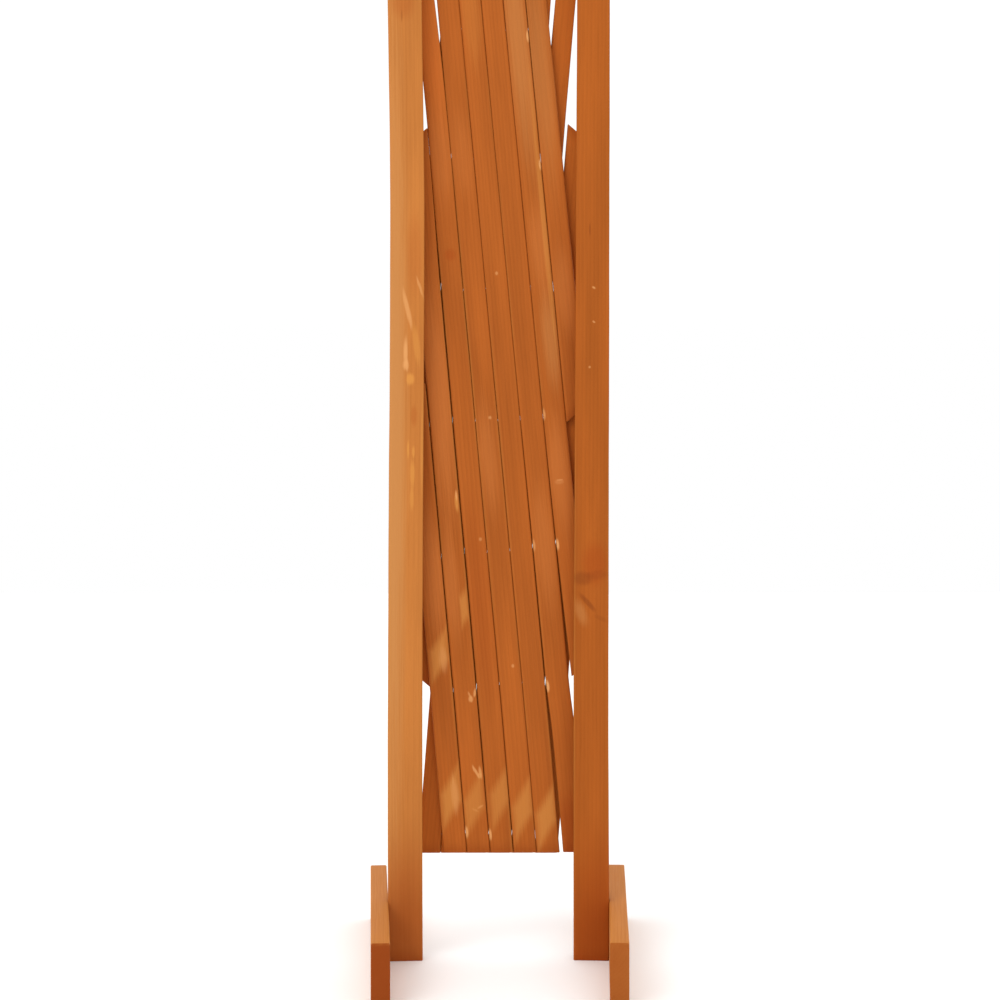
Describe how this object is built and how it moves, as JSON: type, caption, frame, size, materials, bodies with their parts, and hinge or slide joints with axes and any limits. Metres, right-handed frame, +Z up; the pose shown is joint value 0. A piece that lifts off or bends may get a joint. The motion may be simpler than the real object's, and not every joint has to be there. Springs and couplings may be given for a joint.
{
  "type": "folding lattice fence panel",
  "caption": "Folding wooden lattice fence: crossed slats pinned into a scissor lattice between end posts on foot boards, which pulls out sideways.",
  "frame": {"origin": "on the ground, midway between the feet and at the middle of their length", "axes": "+X across the fence to the right seen from the front, +Y to the rear, +Z up"},
  "size_m": [0.3024, 0.3504, 1.1],
  "materials": {
    "post_wood": "stained, satin",
    "foot_wood": "stained, satin",
    "front_slat_wood": "stained, satin",
    "back_slat_wood": "stained, satin",
    "steel": "zinc plated"
  },
  "bodies": {
    "left_side": {"left_post": "post_wood", "left_foot": "foot_wood", "left_foot_screws": "steel", "left_pivot_screw": "steel"},
    "right_side": {"right_post": "post_wood", "right_foot": "foot_wood", "right_foot_screws": "steel", "right_pivot_screw": "steel"},
    "front_slat_1": {"front_slat_1": "front_slat_wood"},
    "back_slat_1": {"back_slat_1": "back_slat_wood", "back_slat_1_pins": "steel"},
    "front_slat_2": {"front_slat_2": "front_slat_wood", "left_upper_guide_pin": "steel"},
    "back_slat_2": {"back_slat_2": "back_slat_wood", "back_slat_2_pins": "steel", "left_lower_guide_pin": "steel"},
    "front_slat_3": {"front_slat_3": "front_slat_wood"},
    "back_slat_3": {"back_slat_3": "back_slat_wood", "back_slat_3_pins": "steel"},
    "front_slat_4": {"front_slat_4": "front_slat_wood"},
    "back_slat_4": {"back_slat_4": "back_slat_wood", "back_slat_4_pins": "steel"},
    "front_slat_5": {"front_slat_5": "front_slat_wood"},
    "back_slat_5": {"back_slat_5": "back_slat_wood", "back_slat_5_pins": "steel"},
    "front_slat_6": {"front_slat_6": "front_slat_wood"},
    "back_slat_6": {"back_slat_6": "back_slat_wood", "back_slat_6_pins": "steel"},
    "front_slat_7": {"front_slat_7": "front_slat_wood", "right_lower_guide_pin": "steel"},
    "back_slat_7": {"back_slat_7": "back_slat_wood", "back_slat_7_pins": "steel", "right_upper_guide_pin": "steel"},
    "front_slat_8": {"front_slat_8": "front_slat_wood"},
    "back_slat_8": {"back_slat_8": "back_slat_wood", "back_slat_8_pins": "steel"}
  },
  "joints": [
    {"name": "spread", "type": "hinge", "parent": "left_side", "child": "front_slat_1", "pos_m": [-0.08855, 0.0213, 0.6], "axis": [0, -1, 0], "range_deg": [0, 49.8]},
    {"name": "back_slat_1_hinge", "type": "hinge", "parent": "left_side", "child": "back_slat_1", "pos_m": [-0.08855, 0.0213, 0.6], "axis": [0, 1, 0], "range_deg": [0, 49.8]},
    {"name": "back_slat_2_hinge", "type": "hinge", "parent": "front_slat_1", "child": "back_slat_2", "pos_m": [-0.0759, 0.0213, 0.46057], "axis": [0, 1, 0], "range_deg": [0, 99.6]},
    {"name": "back_slat_3_hinge", "type": "hinge", "parent": "front_slat_1", "child": "back_slat_3", "pos_m": [-0.06325, 0.0213, 0.32115], "axis": [0, 1, 0], "range_deg": [0, 99.6]},
    {"name": "back_slat_4_hinge", "type": "hinge", "parent": "front_slat_1", "child": "back_slat_4", "pos_m": [-0.0506, 0.0213, 0.18172], "axis": [0, 1, 0], "range_deg": [0, 99.6]},
    {"name": "front_slat_2_hinge", "type": "hinge", "parent": "back_slat_4", "child": "front_slat_2", "pos_m": [-0.03795, 0.0213, 0.32115], "axis": [0, -1, 0], "range_deg": [0, 99.6]},
    {"name": "front_slat_3_hinge", "type": "hinge", "parent": "back_slat_4", "child": "front_slat_3", "pos_m": [-0.0253, 0.0213, 0.46057], "axis": [0, -1, 0], "range_deg": [0, 99.6]},
    {"name": "front_slat_4_hinge", "type": "hinge", "parent": "back_slat_4", "child": "front_slat_4", "pos_m": [-0.01265, 0.0213, 0.6], "axis": [0, -1, 0], "range_deg": [0, 99.6]},
    {"name": "front_slat_5_hinge", "type": "hinge", "parent": "back_slat_4", "child": "front_slat_5", "pos_m": [0, 0.0213, 0.73943], "axis": [0, -1, 0], "range_deg": [0, 99.6]},
    {"name": "front_slat_6_hinge", "type": "hinge", "parent": "back_slat_4", "child": "front_slat_6", "pos_m": [0.01265, 0.0213, 0.87886], "axis": [0, -1, 0], "range_deg": [0, 99.6]},
    {"name": "front_slat_7_hinge", "type": "hinge", "parent": "back_slat_4", "child": "front_slat_7", "pos_m": [0.0253, 0.0213, 1.01828], "axis": [0, -1, 0], "range_deg": [0, 99.6]},
    {"name": "back_slat_5_hinge", "type": "hinge", "parent": "front_slat_7", "child": "back_slat_5", "pos_m": [0.03795, 0.0213, 0.87886], "axis": [0, 1, 0], "range_deg": [0, 99.6]},
    {"name": "back_slat_6_hinge", "type": "hinge", "parent": "front_slat_7", "child": "back_slat_6", "pos_m": [0.0506, 0.0213, 0.73943], "axis": [0, 1, 0], "range_deg": [0, 99.6]},
    {"name": "back_slat_7_hinge", "type": "hinge", "parent": "front_slat_7", "child": "back_slat_7", "pos_m": [0.06325, 0.0213, 0.6], "axis": [0, 1, 0], "range_deg": [0, 99.6]},
    {"name": "back_slat_8_hinge", "type": "hinge", "parent": "front_slat_7", "child": "back_slat_8", "pos_m": [0.0759, 0.0213, 0.46057], "axis": [0, 1, 0], "range_deg": [0, 99.6]},
    {"name": "front_slat_8_hinge", "type": "hinge", "parent": "back_slat_8", "child": "front_slat_8", "pos_m": [0.08855, 0.0213, 0.6], "axis": [0, -1, 0], "range_deg": [0, 99.6]},
    {"name": "right_side_hinge", "type": "hinge", "parent": "back_slat_8", "child": "right_side", "pos_m": [0.08855, 0.0213, 0.6], "axis": [0, -1, 0], "range_deg": [0, 49.8]}
  ],
  "couplings": [
    {"joint": "back_slat_1_hinge", "follows": "spread", "ratio": 1},
    {"joint": "back_slat_2_hinge", "follows": "spread", "ratio": 2},
    {"joint": "back_slat_3_hinge", "follows": "spread", "ratio": 2},
    {"joint": "back_slat_4_hinge", "follows": "spread", "ratio": 2},
    {"joint": "front_slat_2_hinge", "follows": "spread", "ratio": 2},
    {"joint": "front_slat_3_hinge", "follows": "spread", "ratio": 2},
    {"joint": "front_slat_4_hinge", "follows": "spread", "ratio": 2},
    {"joint": "front_slat_5_hinge", "follows": "spread", "ratio": 2},
    {"joint": "front_slat_6_hinge", "follows": "spread", "ratio": 2},
    {"joint": "front_slat_7_hinge", "follows": "spread", "ratio": 2},
    {"joint": "back_slat_5_hinge", "follows": "spread", "ratio": 2},
    {"joint": "back_slat_6_hinge", "follows": "spread", "ratio": 2},
    {"joint": "back_slat_7_hinge", "follows": "spread", "ratio": 2},
    {"joint": "back_slat_8_hinge", "follows": "spread", "ratio": 2},
    {"joint": "front_slat_8_hinge", "follows": "spread", "ratio": 2},
    {"joint": "right_side_hinge", "follows": "spread", "ratio": 1}
  ]
}
